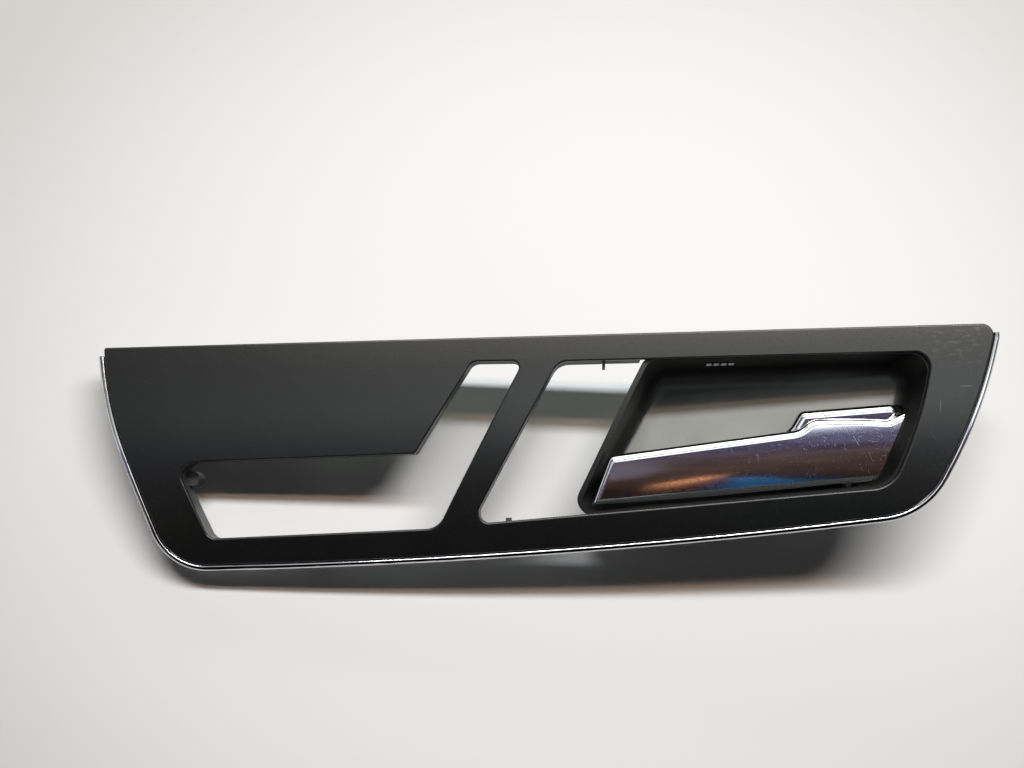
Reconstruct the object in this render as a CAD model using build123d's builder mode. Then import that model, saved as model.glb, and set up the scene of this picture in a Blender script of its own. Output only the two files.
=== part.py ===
"""Inside door handle in its trim blade: facing, carrier, edge strip, finger bowl and sprung pull lever.

X runs to the right along the blade, Z up, and Y from the cabin into the door. The origin is on the middle
locating peg, on the plane where the carrier's pads rest on the door. Lengths in millimetres.
"""

import math
import os

from build123d import *

os.makedirs("parts", exist_ok=True)

# Facing: a crowned plate, a slice of a large cylinder that lies along X.
FRONT = -22.0  # y of the crown's highest line
CROWN_R = 260.0
CROWN_Z = 20.0  # height of the crown's highest line
FACING = 2.5
FACING_EDGE = 0.8
SEAM = 0.1  # bonded seam between facing, carrier and bowl

# Carrier behind the facing.
WEB = 2.4
WALL = 1.8
CARRIER_INSET = 1.8
FLANGE_DEPTH = 12.0  # behind the front of the facing
LEFT_COLLAR_DEPTH = 12.0
LOCK_COLLAR_DEPTH = 15.0
COLLAR_SET_BACK = 0.3
PEG_R = 3.0
PEG_LENGTH = 8.0
PAD_R = 4.5
PADS = [(0, 0), (191, -2), (-162, 3), (-60, 14.5)]  # the first two carry the pegs
BOSS_R = 3.4
SWITCH_SCREWS = [(-143.5, -11.0), (-10.5, -15.5)]  # x, and y where the boss starts
SWITCH_SCREW_Z = -17.0
SWITCH_BOSS_TOP = -2.0
PILOT_R = 1.3
CLIPS = [(-165, 19), (-100, 22), (-45, 22), (198.5, 22), (-85, -49.4), (77, -41)]
CLIP_BLADE = (8.0, 2.0, 8.0)  # width, thickness, reach behind the pads
STAKES = [(-168, 33), (-128, 33), (-72, 33), (-118, 2), (-60, 0), (-148, -41), (199, 35.5), (184, -20)]
STAKE_R = 1.5
STAKE_HEAD_R = 2.6

# Bright strip round the left, bottom and right edges.
STRIP_GAP = 0.35
STRIP_WIDTH = 2.4
STRIP_TOP = 39.0
STRIP_FOOT = 1.5
STRIP_ROUND = 1.3
STRIP_INNER_ROUND = 0.6

# Bowl.
BOWL_WALL = 2.2
RIM_TOP = (62.4, 31.3)
RIM_BOTTOM = (26.6, -37.0)
FLOOR_LEFT = 8.0  # y of the floor at FLOOR_X[0]
FLOOR_RIGHT = -1.0
FLOOR_X = (70.0, 185.0)
FLOOR_LEAN = 6.0  # the floor lies deeper towards its top
WELL_FLOOR = 4.0
LUGS = [(78, 37.2, -8.9), (150, 37.2, -8.9), (60, -41.6, -4.5), (135, -36.3, -4.5)]
LUG = 2.5
SCREW_R = 1.7
SCREW_FREE = 0.3

# Lever and its hinge.
LEVER_R = 150.0
LEVER_SLOPE = 4.5
LEVER_FRONT = -19.2
LEVER_RISE = 7.5  # height of the front's highest line at LEVER_MID
LEVER_MID = 105.0
THUMB_STEP = 1.25  # the thumb plate lies this far behind the bar's face
THUMB_LEAN = 14.5  # and its highest line this far above the bar's
SCOOP = 2.4  # depth of the hollow between plate and bar
TAIL = (160.0, 182.0, 8.0)  # behind the hinge the back comes forward, from and to these x
LEVER_BACK = -9.0
COVER = 2.2
PIVOT = (154.0, -7.0, -8.0)
PIN_R = 2.0
PIN_RUN = 0.06  # radial clearance of the turning fit
KNUCKLE_R = 4.3
EAR_SPANS = [(-12.6, -8.6), (8.6, 12.6)]  # along the pin, from its middle
KNUCKLE_SPAN = (-2.0, 8.3)
ARM_SPAN = (1.0, 6.0)
ARM_WIDTH = 9.0
ARM_HOLE = 19.5  # cable hole, behind the pin
ARM_HOLE_R = 2.7
WIRE_R = 0.6
COIL_R = 3.2
COIL_SPAN = (-7.3, -2.9)
COIL_TURNS = 3.5
COVER_SCREWS = [(72, -21.5), (116, -16.5)]
CORE_FLOOR = -11.8
ARM_END_R = 4.5
REST_GAP = 0.3
CLIP_SHEET = 0.5
BAR_ROUND = 3.2
BAR_BEVEL = 2.0
THUMB_ROUND = 3.2
FLOOR_ROUND = 7.0
BUFFER_STEM_R = 1.5
LENS = (13.0, 4.0)
LENS_REACH = 2.6  # from the roof's inner face to the lens's flange
LENS_PADS = (-5.0, -1.7, 1.7, 5.0)
LENS_PAD = 2.2
LENS_SET_BACK = 0.7


ROOF_LEAN = math.radians(7.4)
LENS_PLANE = Plane(
    origin=(98.15, -10.5, 31.4 - math.tan(ROOF_LEAN) * 13.5),
    x_dir=(1, 0, 0),
    z_dir=(0, math.sin(ROOF_LEAN), math.cos(ROOF_LEAN)),
)


def at_depth(y):
    """Sketch plane facing the cabin, x to the right and z up."""
    return Plane.XZ.offset(-y)


def crown_y(z, behind=0.0):
    """Where the crowned surface lies at height z."""
    radius = CROWN_R - behind
    return FRONT + CROWN_R - math.sqrt(radius**2 - (z - CROWN_Z) ** 2)


def crown(behind, mode):
    """Everything that lies behind the facing's front surface by more than this."""
    with Locations((0, FRONT + CROWN_R, CROWN_Z)):
        Cylinder(CROWN_R - behind, 600, rotation=(0, 90, 0), mode=mode)


def end_before(y):
    """Cuts off what would reach behind this plane."""
    with Locations((0, y, 0)):
        Box(600, 100, 300, align=(Align.CENTER, Align.MIN, Align.CENTER), mode=Mode.SUBTRACT)


def square_to_crown(x, z, behind=0.0):
    """Plane on the crowned surface whose normal points into the door."""
    slope = math.asin((z - CROWN_Z) / (CROWN_R - behind))
    into_door = (0, math.cos(slope), -math.sin(slope))
    return Plane(origin=(x, crown_y(z, behind), z), x_dir=(1, 0, 0), z_dir=into_door)


def round_corner(sketch, point, radius):
    fillet(sketch.vertices().sort_by_distance((point[0], point[1], 0))[0], radius)


def outline(corners):
    """Face of a polygon whose corners are given as x, z and radius."""
    with BuildSketch() as shape:
        Polygon(*[(x, z) for x, z, _ in corners], align=None)
        for x, z, radius in corners:
            if radius:
                round_corner(shape, (x, z), radius)
    return shape.sketch


def blade_outline():
    top_left, top_right = (-182.0, 43.0), (217.8, 43.0)
    low_right, low_left, side = (182.3, -38.4), (-152.6, -56.2), (-171.1, -5.2)
    with BuildSketch() as shape:
        with BuildLine():
            Line(top_left, top_right)
            ThreePointArc(top_right, (203.5, 0.85), low_right)
            ThreePointArc(low_right, (10, -52.24), low_left)
            edge = Line(low_left, side)
            TangentArc(side, top_left, tangent=edge % 1)
        make_face()
        round_corner(shape, top_left, 1.2)
        round_corner(shape, top_right, 5)
        round_corner(shape, low_right, 32)
        round_corner(shape, low_left, 23)
    return shape.sketch


def handle_outline():
    upper_right, lower_right = (189.3, 31.0), (169.6, -27.7)
    upper_left, lower_left = (25.3, 31.0), (-15.3, -40.2)
    with BuildSketch() as shape:
        with BuildLine():
            Line(upper_left, upper_right)
            ThreePointArc(upper_right, (182.6, 4.0), lower_right)
            Line(lower_right, lower_left)
            Line(lower_left, upper_left)
        make_face()
        round_corner(shape, upper_left, 8)
        round_corner(shape, upper_right, 6.5)
        round_corner(shape, lower_right, 14)
        round_corner(shape, lower_left, 4.5)
    return shape.sketch


SEAT_CORNERS = [
    (-148.6, -10.3, 6),
    (-39.5, -8.7, 2),
    (-13.2, 32, 5),
    (9.6, 31.7, 3),
    (-30.3, -41.75, 9),
    (-134.2, -44.4, 5),
]
blade = blade_outline()
seat_opening = outline(SEAT_CORNERS)
handle_opening = handle_outline()


def grown(shape, amount):
    return offset(shape, amount=amount, kind=Kind.ARC, mode=Mode.PRIVATE)


def beside_rim(shift, right=True):
    """Half plane to one side of the bowl's left rim, moved right by shift."""
    lean = math.atan2(RIM_TOP[0] - RIM_BOTTOM[0], RIM_TOP[1] - RIM_BOTTOM[1])
    step = shift / math.cos(lean)
    reach = math.tan(lean) * 60
    far = 300 if right else -300
    low = (RIM_BOTTOM[0] + step - reach, RIM_BOTTOM[1] - 60)
    high = (RIM_TOP[0] + step + reach, RIM_TOP[1] + 60)
    return make_face(Polyline(low, high, (far, high[1]), (far, low[1]), low))


# Facing.
with BuildPart() as decor_panel:
    with BuildSketch(at_depth(-30)):
        add(blade)
        add(seat_opening, mode=Mode.SUBTRACT)
        add(handle_opening, mode=Mode.SUBTRACT)
    extrude(amount=-45)
    crown(0, Mode.INTERSECT)
    crown(FACING, Mode.SUBTRACT)
    face = decor_panel.faces().filter_by(GeomType.CYLINDER).sort_by(SortBy.AREA)[-2:].sort_by(Axis.Y)[0]
    fillet(face.edges(), FACING_EDGE)
    for x, z in STAKES:
        with BuildSketch(square_to_crown(x, z, FACING - 0.4)):
            Circle(STAKE_R)
        extrude(amount=0.4 + SEAM + WEB + 1.2)
        with BuildSketch(square_to_crown(x, z, FACING + SEAM + WEB + 0.05)):
            Circle(STAKE_HEAD_R)
        extrude(amount=1.4, taper=25)

# Carrier frame.
BEHIND = FACING + SEAM
rim_side = beside_rim(-0.4)
handle_side = grown(handle_opening, 2.9) & rim_side
lock_side = grown(handle_opening, COLLAR_SET_BACK)
with BuildPart() as carrier_frame:
    with BuildSketch(at_depth(-30)):
        add(grown(blade, -CARRIER_INSET))
        add(grown(seat_opening, COLLAR_SET_BACK), mode=Mode.SUBTRACT)
        add(lock_side, mode=Mode.SUBTRACT)
        add(handle_side, mode=Mode.SUBTRACT)
    extrude(amount=-45)
    crown(BEHIND, Mode.INTERSECT)
    crown(BEHIND + WEB, Mode.SUBTRACT)

with BuildPart() as edge_wall:
    with BuildSketch(at_depth(-30)):
        add(grown(blade, -CARRIER_INSET))
        add(grown(blade, -CARRIER_INSET - WALL), mode=Mode.SUBTRACT)
    extrude(amount=-45)
    crown(BEHIND, Mode.INTERSECT)
    crown(FLANGE_DEPTH, Mode.SUBTRACT)
    end_before(-3)

with BuildPart() as seat_collar:
    with BuildSketch(at_depth(-30)):
        add(grown(seat_opening, COLLAR_SET_BACK + WALL))
        add(grown(seat_opening, COLLAR_SET_BACK), mode=Mode.SUBTRACT)
    extrude(amount=-45)
    crown(BEHIND, Mode.INTERSECT)
    crown(LEFT_COLLAR_DEPTH, Mode.SUBTRACT)
    end_before(-1)

with BuildPart() as lock_collar:
    with BuildSketch(at_depth(-30)):
        add(grown(handle_opening, COLLAR_SET_BACK + WALL))
        add(grown(handle_opening, COLLAR_SET_BACK), mode=Mode.SUBTRACT)
        add(rim_side, mode=Mode.SUBTRACT)
    extrude(amount=-50)
    crown(BEHIND, Mode.INTERSECT)
    crown(LOCK_COLLAR_DEPTH, Mode.SUBTRACT)
    end_before(-1)
    # Snap rib under the top wall, notch in the left wall and nub on the bottom wall for the switch block.
    with Locations((45.6, -13.5, 30.0)):
        Box(1.2, 9, 3.4)
    with Locations((0.5, -12.0, -16.5)):
        Box(12, 5, 4.6, mode=Mode.SUBTRACT)
    with Locations((1.0, -5.5, -38.6)):
        Box(2.4, 5, 2.0)

with BuildPart() as carrier_ribs:
    with BuildSketch(at_depth(-30)):
        for x, low, high in ((-142, -9.4, 41), (-82, -8.6, 41), (-38, -5, 41), (194, -6, 41)):
            with Locations((x, (low + high) / 2)):
                Rectangle(1.5, high - low)
        for x, z, length in ((-105, 12, 146), (-70, 30.5, 92)):
            with Locations((x, z)):
                Rectangle(length, 1.5)
        add(grown(blade, -CARRIER_INSET - 1), mode=Mode.INTERSECT)
    extrude(amount=-45)
    crown(BEHIND, Mode.INTERSECT)
    crown(FLANGE_DEPTH - 2, Mode.SUBTRACT)

with BuildPart() as carrier_posts:
    for x, z in PADS:
        with BuildSketch(at_depth(0)):
            with Locations((x, z)):
                Circle(PAD_R)
        extrude(amount=-crown_y(z, BEHIND + 1))
    for x, z in PADS[:2]:
        with BuildSketch(at_depth(0)):
            with Locations((x, z)):
                Circle(PEG_R)
        extrude(amount=-PEG_LENGTH + 1)
        with BuildSketch(at_depth(PEG_LENGTH - 1)):
            with Locations((x, z)):
                Circle(PEG_R)
        extrude(amount=-1, taper=30)
    for x, z, top in LUGS:
        with BuildSketch(at_depth(top)):
            with Locations((x, z)):
                Circle(BOSS_R)
        extrude(amount=top - crown_y(z, BEHIND + 1))
    for x, foot in SWITCH_SCREWS:
        with BuildSketch(at_depth(SWITCH_BOSS_TOP)):
            with Locations((x, SWITCH_SCREW_Z)):
                Circle(BOSS_R)
        extrude(amount=SWITCH_BOSS_TOP - foot)
    width, thickness, reach = CLIP_BLADE
    for x, z in CLIPS:
        with BuildSketch(at_depth(reach)):
            with Locations((x, z)):
                Rectangle(width, thickness)
        extrude(amount=reach - crown_y(z, BEHIND + 1))
        with BuildSketch(at_depth(-3)):
            with Locations((x, z)):
                Rectangle(width + 4, thickness + 3)
        extrude(amount=-3 - crown_y(z, BEHIND + 1))

with carrier_frame:
    add(edge_wall.part)
    add(seat_collar.part)
    add(lock_collar.part)
    add(carrier_ribs.part)
    add(carrier_posts.part)
    # Pilot holes for the bowl's screws and for the seat switches.
    for x, z, top in LUGS:
        with BuildSketch(at_depth(top)):
            with Locations((x, z)):
                Circle(SCREW_R + 0.05)
        extrude(amount=6.0 if top < -6 else 4.5, mode=Mode.SUBTRACT)
    for x, _ in SWITCH_SCREWS:
        with BuildSketch(at_depth(SWITCH_BOSS_TOP)):
            with Locations((x, SWITCH_SCREW_Z)):
                Circle(PILOT_R)
        extrude(amount=7, mode=Mode.SUBTRACT)
    for x, z in STAKES:
        with BuildSketch(square_to_crown(x, z, FACING)):
            Circle(STAKE_R + 0.15)
        extrude(amount=6, mode=Mode.SUBTRACT)
        with BuildSketch(square_to_crown(x, z, BEHIND + WEB)):
            Circle(STAKE_HEAD_R + 0.4)
        extrude(amount=9, mode=Mode.SUBTRACT)

# Bright strip: a bead beside the facing's edge, with a foot under that edge.
with BuildPart() as edge_strip:
    with BuildSketch(at_depth(-30)):
        add(grown(blade, STRIP_GAP + STRIP_WIDTH))
        add(grown(blade, STRIP_GAP), mode=Mode.SUBTRACT)
    extrude(amount=-45)
    crown(0, Mode.INTERSECT)
    crown(FACING + 3.0, Mode.SUBTRACT)
    middle = grown(blade, STRIP_GAP + STRIP_WIDTH / 2).faces()[0]
    for inside, radius in ((False, STRIP_ROUND), (True, STRIP_INNER_ROUND)):
        front = [f for f in edge_strip.faces().filter_by(GeomType.CYLINDER) if abs(f.radius - CROWN_R) < 0.01]
        points = [(e, e.position_at(0.5)) for e in front[0].edges()]
        fillet([e for e, at in points if middle.is_inside(Vector(at.X, at.Z, 0)) == inside], radius)
with BuildPart() as strip_foot:
    with BuildSketch(at_depth(-30)):
        add(grown(blade, STRIP_GAP + 0.6))
        add(grown(blade, -CARRIER_INSET + SEAM), mode=Mode.SUBTRACT)
    extrude(amount=-45)
    crown(FACING + 0.15, Mode.INTERSECT)
    crown(FACING + 0.15 + STRIP_FOOT, Mode.SUBTRACT)
with edge_strip:
    add(strip_foot.part)
    with Locations((0, 0, STRIP_TOP)):
        Box(600, 100, 60, align=(Align.CENTER, Align.CENTER, Align.MIN), mode=Mode.SUBTRACT)


# Bowl: drafted walls, a floor that falls away to the left and the top, and a deeper well round the hinge.
BOWL_MOUTH = [(64.8, 31.4, 5), (189.8, 31.4, 6.7), (170.0, -28.1, 14), (28.6, -37.6, 4)]
BOWL_FLOOR = [(72.4, 27.6, 11), (185.2, 27.6, 11), (166.4, -24.6, 12), (34.8, -34.6, 8.5)]
WELL = [
    (146, 5.8, 2),
    (160, 5.8, 3),
    (166, 10, 3),
    (182.8, 10, 3),
    (173, -16, 4),
    (166.5, -24, 4),
    (146, -26, 3),
]
MOUTH_Y = -24.0
SLOPE = Vector(FLOOR_X[1] - FLOOR_X[0], FLOOR_RIGHT - FLOOR_LEFT, 0).normalized()
LEAN = math.radians(FLOOR_LEAN)


def bowl_ring(corners, bulge):
    """Four-sided outline whose right side is bowed outwards."""
    upper_left, upper_right, lower_right, lower_left = [(x, z) for x, z, _ in corners]
    middle = ((upper_right[0] + lower_right[0]) / 2 + bulge, (upper_right[1] + lower_right[1]) / 2)
    with BuildSketch() as ring:
        with BuildLine():
            Line(upper_left, upper_right)
            ThreePointArc(upper_right, middle, lower_right)
            Line(lower_right, lower_left)
            Line(lower_left, upper_left)
        make_face()
        for x, z, radius in corners:
            round_corner(ring, (x, z), radius)
    return ring.sketch


def bowl_block(wall):
    """The bowl's hollow, or with a wall thickness its outer form."""
    mouth = grown(bowl_ring(BOWL_MOUTH, 2.4), wall)
    base = grown(bowl_ring([(x / SLOPE.X, z / math.cos(LEAN), r) for x, z, r in BOWL_FLOOR], 2.4), wall)
    well = grown(outline(WELL), wall)
    floor_y = FLOOR_LEFT + wall - FLOOR_X[0] * SLOPE.Y / SLOPE.X
    with BuildPart() as bowl:
        with BuildSketch(at_depth(MOUTH_Y)):
            add(mouth)
        with BuildSketch(Plane((0, floor_y, 0), x_dir=SLOPE, z_dir=(SLOPE.Y, -SLOPE.X, math.tan(LEAN)))):
            add(base)
        loft(ruled=True)
        floor = bowl.faces().sort_by(Axis.Y)[-1]
        fillet(floor.edges(), FLOOR_ROUND + wall)
        with BuildSketch(at_depth(WELL_FLOOR + wall)):
            add(well)
        extrude(amount=12 + wall)
    return bowl.part


hollow = bowl_block(0)
px, py, pz = PIVOT
FLOOR_REAR = WELL_FLOOR + BOWL_WALL

# Line of the return spring's wire round the pin: its legs leave the coil along the coil's own ends.
coil = Helix(
    pitch=(COIL_SPAN[1] - COIL_SPAN[0]) / COIL_TURNS,
    height=COIL_SPAN[1] - COIL_SPAN[0],
    radius=COIL_R,
    center=(px, py, pz + COIL_SPAN[0]),
    lefthand=True,
)
floor_leg = Plane(origin=coil @ 0, z_dir=-(coil % 0))
arm_leg = Plane(origin=coil @ 1, z_dir=coil % 1)

with BuildPart() as handle_bowl:
    add(bowl_block(BOWL_WALL))
    for x, z, top in LUGS:
        inward = -1 if z > 0 else 1
        with Locations((x, top + LUG / 2, z + inward * 2.25)):
            Box(10, LUG, 9.5)
    # Rest stop and cable seat on the back of the well.
    with Locations((px + 8.2, (FLOOR_REAR + 15) / 2 - 0.5, pz + 3.5)):
        Box(2, 15 - FLOOR_REAR + 1, 13)
    with Locations((px + 17.5, (FLOOR_REAR + 19) / 2 - 0.5, pz + 3.5)):
        Box(3, 19 - FLOOR_REAR + 1, 13)
    with Locations((px + 15.5, FLOOR_REAR + 2.5, pz - 1.5)):
        Box(13, 7, 1.8)
    add(hollow, mode=Mode.SUBTRACT)
    crown(FACING + 0.15, Mode.INTERSECT)
    # Hinge ears.
    for low, high in EAR_SPANS:
        with BuildSketch(Plane.XY.offset(pz + low)):
            with BuildLine():
                Polyline(
                    (px - KNUCKLE_R, py),
                    (px - 7, WELL_FLOOR + 1),
                    (px + 2, WELL_FLOOR + 1),
                    (px + KNUCKLE_R, py),
                    (px - KNUCKLE_R, py),
                )
            make_face()
            with Locations((px, py)):
                Circle(KNUCKLE_R)
        extrude(amount=high - low)
    # Pin bores, and the hole in the lower wall through which the pin is pushed in.
    with BuildSketch(Plane.XY.offset(pz)):
        with Locations((px, py)):
            Circle(PIN_R + 0.02)
    extrude(amount=20, both=True, mode=Mode.SUBTRACT)
    with BuildSketch(Plane.XY.offset(pz - 14)):
        with Locations((px, py)):
            Circle(3.6)
    extrude(amount=-20, mode=Mode.SUBTRACT)
    # Slot for the cable arm, anchor hole of the spring, hole of the rest buffer and groove of the cable.
    with Locations((px - 5.4, WELL_FLOOR + 1, pz + 3.5)):
        Box(21.2, 8, 6.4, mode=Mode.SUBTRACT)
    with BuildSketch(floor_leg.offset(WELL_FLOOR - 1 - py)):
        Circle(WIRE_R + 0.2)
    extrude(amount=BOWL_WALL + 3, mode=Mode.SUBTRACT)
    with BuildSketch(Plane.YZ.offset(px)):
        with Locations((11, pz + 3.5)):
            Circle(BUFFER_STEM_R + 0.05)
    extrude(amount=10, mode=Mode.SUBTRACT)
    with BuildSketch(Plane.YZ.offset(px + 14)):
        with Locations((py + ARM_HOLE, pz + 3.5)):
            Circle(3.2)
        with Locations((py + ARM_HOLE + 5, pz + 3.5)):
            Rectangle(10, 5)
    extrude(amount=6, mode=Mode.SUBTRACT)
    for x, z, top in LUGS:
        with BuildSketch(at_depth(top - 1)):
            with Locations((x, z)):
                Circle(SCREW_R + SCREW_FREE)
        extrude(amount=-6, mode=Mode.SUBTRACT)
    with BuildSketch(LENS_PLANE.offset(-2)):
        Rectangle(LENS[0] + 0.2, LENS[1] + 0.2)
    extrude(amount=6, mode=Mode.SUBTRACT)

# Lens in the roof of the bowl, with four pads towards the hand.
with BuildPart() as light_lens:
    with BuildSketch(LENS_PLANE.offset(LENS_SET_BACK)):
        Rectangle(LENS[0], LENS[1])
    extrude(amount=LENS_REACH + 0.5 - LENS_SET_BACK)
    with BuildSketch(LENS_PLANE.offset(LENS_REACH)):
        RectangleRounded(LENS[0] + 3, LENS[1] + 3, 1)
    extrude(amount=1.2)
    with BuildSketch(LENS_PLANE.offset(-0.5)):
        with Locations(*[(along, 0) for along in LENS_PADS]):
            Rectangle(LENS_PAD, LENS[1] - 0.6)
    extrude(amount=LENS_SET_BACK + 1)

# Lever: a chromed shell over a moulded core. The bar's top edge bends up and runs on before the thumb plate.
LEFT_LOW, LEFT_HIGH, RIGHT_LOW = (38.2, -32.6), (46.9, -11.0), (164.4, -23.8)
BAR_TOP, BAR_LOW = (87.0, -6.5), (105.0, -28.9)  # points that the long edges pass through
FOOT, BEND, SHOULDER = (127.5, -2.05), (133.2, 0.55), (139.6, 3.1)
DIP, TIP = (169.3, 2.0), (177.4, 5.6)
THUMB_FOOT, THUMB_BEND = (121.6, -3.4), (129.0, 1.5)
THUMB_CREST, THUMB_TIP, THUMB_LOW = (132.2, 6.7), (178.4, 9.4), (163.0, -10.4)


def bar_outline():
    with BuildSketch() as shape:
        with BuildLine():
            Line(LEFT_LOW, LEFT_HIGH)
            top = ThreePointArc(LEFT_HIGH, BAR_TOP, FOOT)
            hollow = TangentArc(FOOT, BEND, tangent=top % 1)
            crest = TangentArc(BEND, SHOULDER, tangent=hollow % 1)
            TangentArc(SHOULDER, DIP, tangent=crest % 1)
            Polyline(DIP, TIP, RIGHT_LOW)
            ThreePointArc(RIGHT_LOW, BAR_LOW, LEFT_LOW)
        make_face()
        round_corner(shape, LEFT_HIGH, BAR_ROUND + 0.5)
        round_corner(shape, DIP, 4)
        round_corner(shape, RIGHT_LOW, BAR_ROUND + 0.8)
    return shape.sketch


def lever_face(front, rise, mode):
    """A slightly rounded front, a cylinder along the bar."""
    with Locations((LEVER_MID, front + LEVER_R, rise)):
        Cylinder(LEVER_R, 400, rotation=(0, 90 - LEVER_SLOPE, 0), mode=mode)


def thumb_outline():
    """Plate above the bar, which rises from the bar's top edge in a hollow curve."""
    with BuildSketch() as shape:
        with BuildLine():
            TangentArc(THUMB_FOOT, THUMB_BEND, tangent=(1, 0.13))
            Polyline(THUMB_BEND, THUMB_CREST, THUMB_TIP, THUMB_LOW, (THUMB_FOOT[0], -12), THUMB_FOOT)
        make_face()
        round_corner(shape, THUMB_CREST, THUMB_ROUND + 0.4)
        round_corner(shape, THUMB_TIP, THUMB_ROUND + 0.2)
    return shape.sketch


def front_edges(body):
    """Edges round the rounded front of a lever piece."""
    return [f for f in body.faces().filter_by(GeomType.CYLINDER) if abs(f.radius - LEVER_R) < 0.01][0].edges()


bar = bar_outline()
thumb = thumb_outline()
lever_shape = bar + thumb

with BuildPart() as bar_body:
    with BuildSketch(at_depth(-30)):
        add(bar)
    extrude(amount=-(30 + LEVER_BACK))
    lever_face(LEVER_FRONT, LEVER_RISE, Mode.INTERSECT)
    fillet([e for e in front_edges(bar_body) if e.position_at(0.5).Z > BAR_TOP[1] - 0.5], BAR_ROUND)
with BuildPart() as thumb_body:
    with BuildSketch(at_depth(-30)):
        add(thumb)
    extrude(amount=-(30 + LEVER_BACK))
    lever_face(LEVER_FRONT + THUMB_STEP, LEVER_RISE + THUMB_LEAN, Mode.INTERSECT)
    fillet([e for e in front_edges(thumb_body) if e.center().Z > -4.5], THUMB_ROUND)

# The lever grows thinner towards the right behind its hinge.
start, end, rise = TAIL
with BuildPart() as back_taper:
    with BuildSketch(Plane.XY):
        with BuildLine():
            Polyline((start, LEVER_BACK), (end, LEVER_BACK - rise), (end, 20), (start, 20), (start, LEVER_BACK))
        make_face()
    extrude(amount=60, both=True)

# Bevel along the bar's lower edge, between the front and the underside.
along_low = Vector(RIGHT_LOW[0] - LEFT_LOW[0], 0, RIGHT_LOW[1] - LEFT_LOW[1]).normalized()
low_front = LEVER_FRONT + LEVER_R - math.sqrt(LEVER_R**2 - (LEVER_RISE - BAR_LOW[1]) ** 2)
lower_bevel = Plane(
    origin=(BAR_LOW[0], low_front + BAR_BEVEL, BAR_LOW[1]),
    x_dir=along_low,
    z_dir=Vector(along_low.Z, -1, -along_low.X),
)

# Room round the bowl's hinge ears.
with BuildPart() as ear_reliefs:
    lower_ear, upper_ear = EAR_SPANS
    for low, high in ((lower_ear[0] - 1.9, lower_ear[1] + 0.3), (upper_ear[0] - 0.3, upper_ear[1] + 1.3)):
        with BuildSketch(Plane.XY.offset(pz + low)):
            with Locations((px, py)):
                Circle(KNUCKLE_R + 0.5)
        extrude(amount=high - low)

with BuildPart() as cover_hollow:
    with BuildSketch(at_depth(-30)):
        add(grown(lever_shape, -COVER))
    extrude(amount=-60)
    lever_face(LEVER_FRONT + SCOOP + COVER, LEVER_RISE, Mode.INTERSECT)

with BuildPart() as lever_cover:
    add(bar_body.part)
    add(thumb_body.part)
    with Locations(lower_bevel):
        Box(200, 20, 20, align=(Align.CENTER, Align.CENTER, Align.MIN), mode=Mode.SUBTRACT)
    add(back_taper.part, mode=Mode.SUBTRACT)
    add(cover_hollow.part, mode=Mode.SUBTRACT)
    add(ear_reliefs.part, mode=Mode.SUBTRACT)
    for x, z in COVER_SCREWS:
        with BuildSketch(at_depth(CORE_FLOOR)):
            with Locations((x, z)):
                Circle(2.6)
        extrude(amount=3.5)
        with BuildSketch(at_depth(CORE_FLOOR)):
            with Locations((x, z)):
                Circle(1.05)
        extrude(amount=3.5, mode=Mode.SUBTRACT)

# Core: a tray that closes the cover's back, with the hinge knuckle and the cable arm behind it.
with BuildPart() as lever_core:
    with BuildSketch(at_depth(-30)):
        add(grown(lever_shape, -COVER - SEAM))
    extrude(amount=-(30 + LEVER_BACK))
    lever_face(LEVER_FRONT + SCOOP + COVER + SEAM, LEVER_RISE, Mode.INTERSECT)
    with BuildSketch(at_depth(-30)):
        add(grown(lever_shape, -COVER - SEAM - WALL))
    extrude(amount=-(30 + CORE_FLOOR), mode=Mode.SUBTRACT)
    add(back_taper.part, mode=Mode.SUBTRACT)
    back = lever_core.faces().filter_by(Axis.Y).sort_by(Axis.Y)[-1]
    fillet([e for e in back.edges() if e.center().X < 100], 1.2)
    with BuildSketch(Plane.XY.offset(pz + KNUCKLE_SPAN[0])):
        with Locations((px, py)):
            Circle(KNUCKLE_R)
        with Locations((px - 2, (py + CORE_FLOOR) / 2)):
            Rectangle(2 * KNUCKLE_R + 4, py - CORE_FLOOR)
    extrude(amount=KNUCKLE_SPAN[1] - KNUCKLE_SPAN[0])
    with BuildSketch(Plane.XY.offset(pz + ARM_SPAN[0])):
        with Locations((px, py + ARM_HOLE / 2)):
            Rectangle(ARM_WIDTH, ARM_HOLE)
        with Locations((px, py + ARM_HOLE)):
            Circle(ARM_END_R)
    extrude(amount=ARM_SPAN[1] - ARM_SPAN[0])
    # Lug that the spring's leg pushes on.
    with Locations((px - COIL_R + WIRE_R + 0.05 + 1.75, py + 8.2, pz - 2.5)):
        Box(3.5, 3.6, 8)
    # Reliefs round the ears and the coil, bore for the pin, hole for the cable's end, screw seats.
    add(ear_reliefs.part, mode=Mode.SUBTRACT)
    with BuildSketch(Plane.XY.offset(pz + COIL_SPAN[0] - 1)):
        with Locations((px, py)):
            Circle(COIL_R + WIRE_R + 0.7)
    extrude(amount=KNUCKLE_SPAN[0] - COIL_SPAN[0] + 1, mode=Mode.SUBTRACT)
    with BuildSketch(Plane.XY.offset(pz)):
        with Locations((px, py)):
            Circle(PIN_R + PIN_RUN)
        with Locations((px, py + ARM_HOLE)):
            Circle(ARM_HOLE_R)
    extrude(amount=20, both=True, mode=Mode.SUBTRACT)
    for x, z in COVER_SCREWS:
        with BuildSketch(at_depth(LEVER_BACK)):
            with Locations((x, z)):
                Circle(2.4)
        extrude(amount=1.5, mode=Mode.SUBTRACT)
        with BuildSketch(at_depth(LEVER_BACK)):
            with Locations((x, z)):
                Circle(1.3)
        extrude(amount=6, mode=Mode.SUBTRACT)

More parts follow.
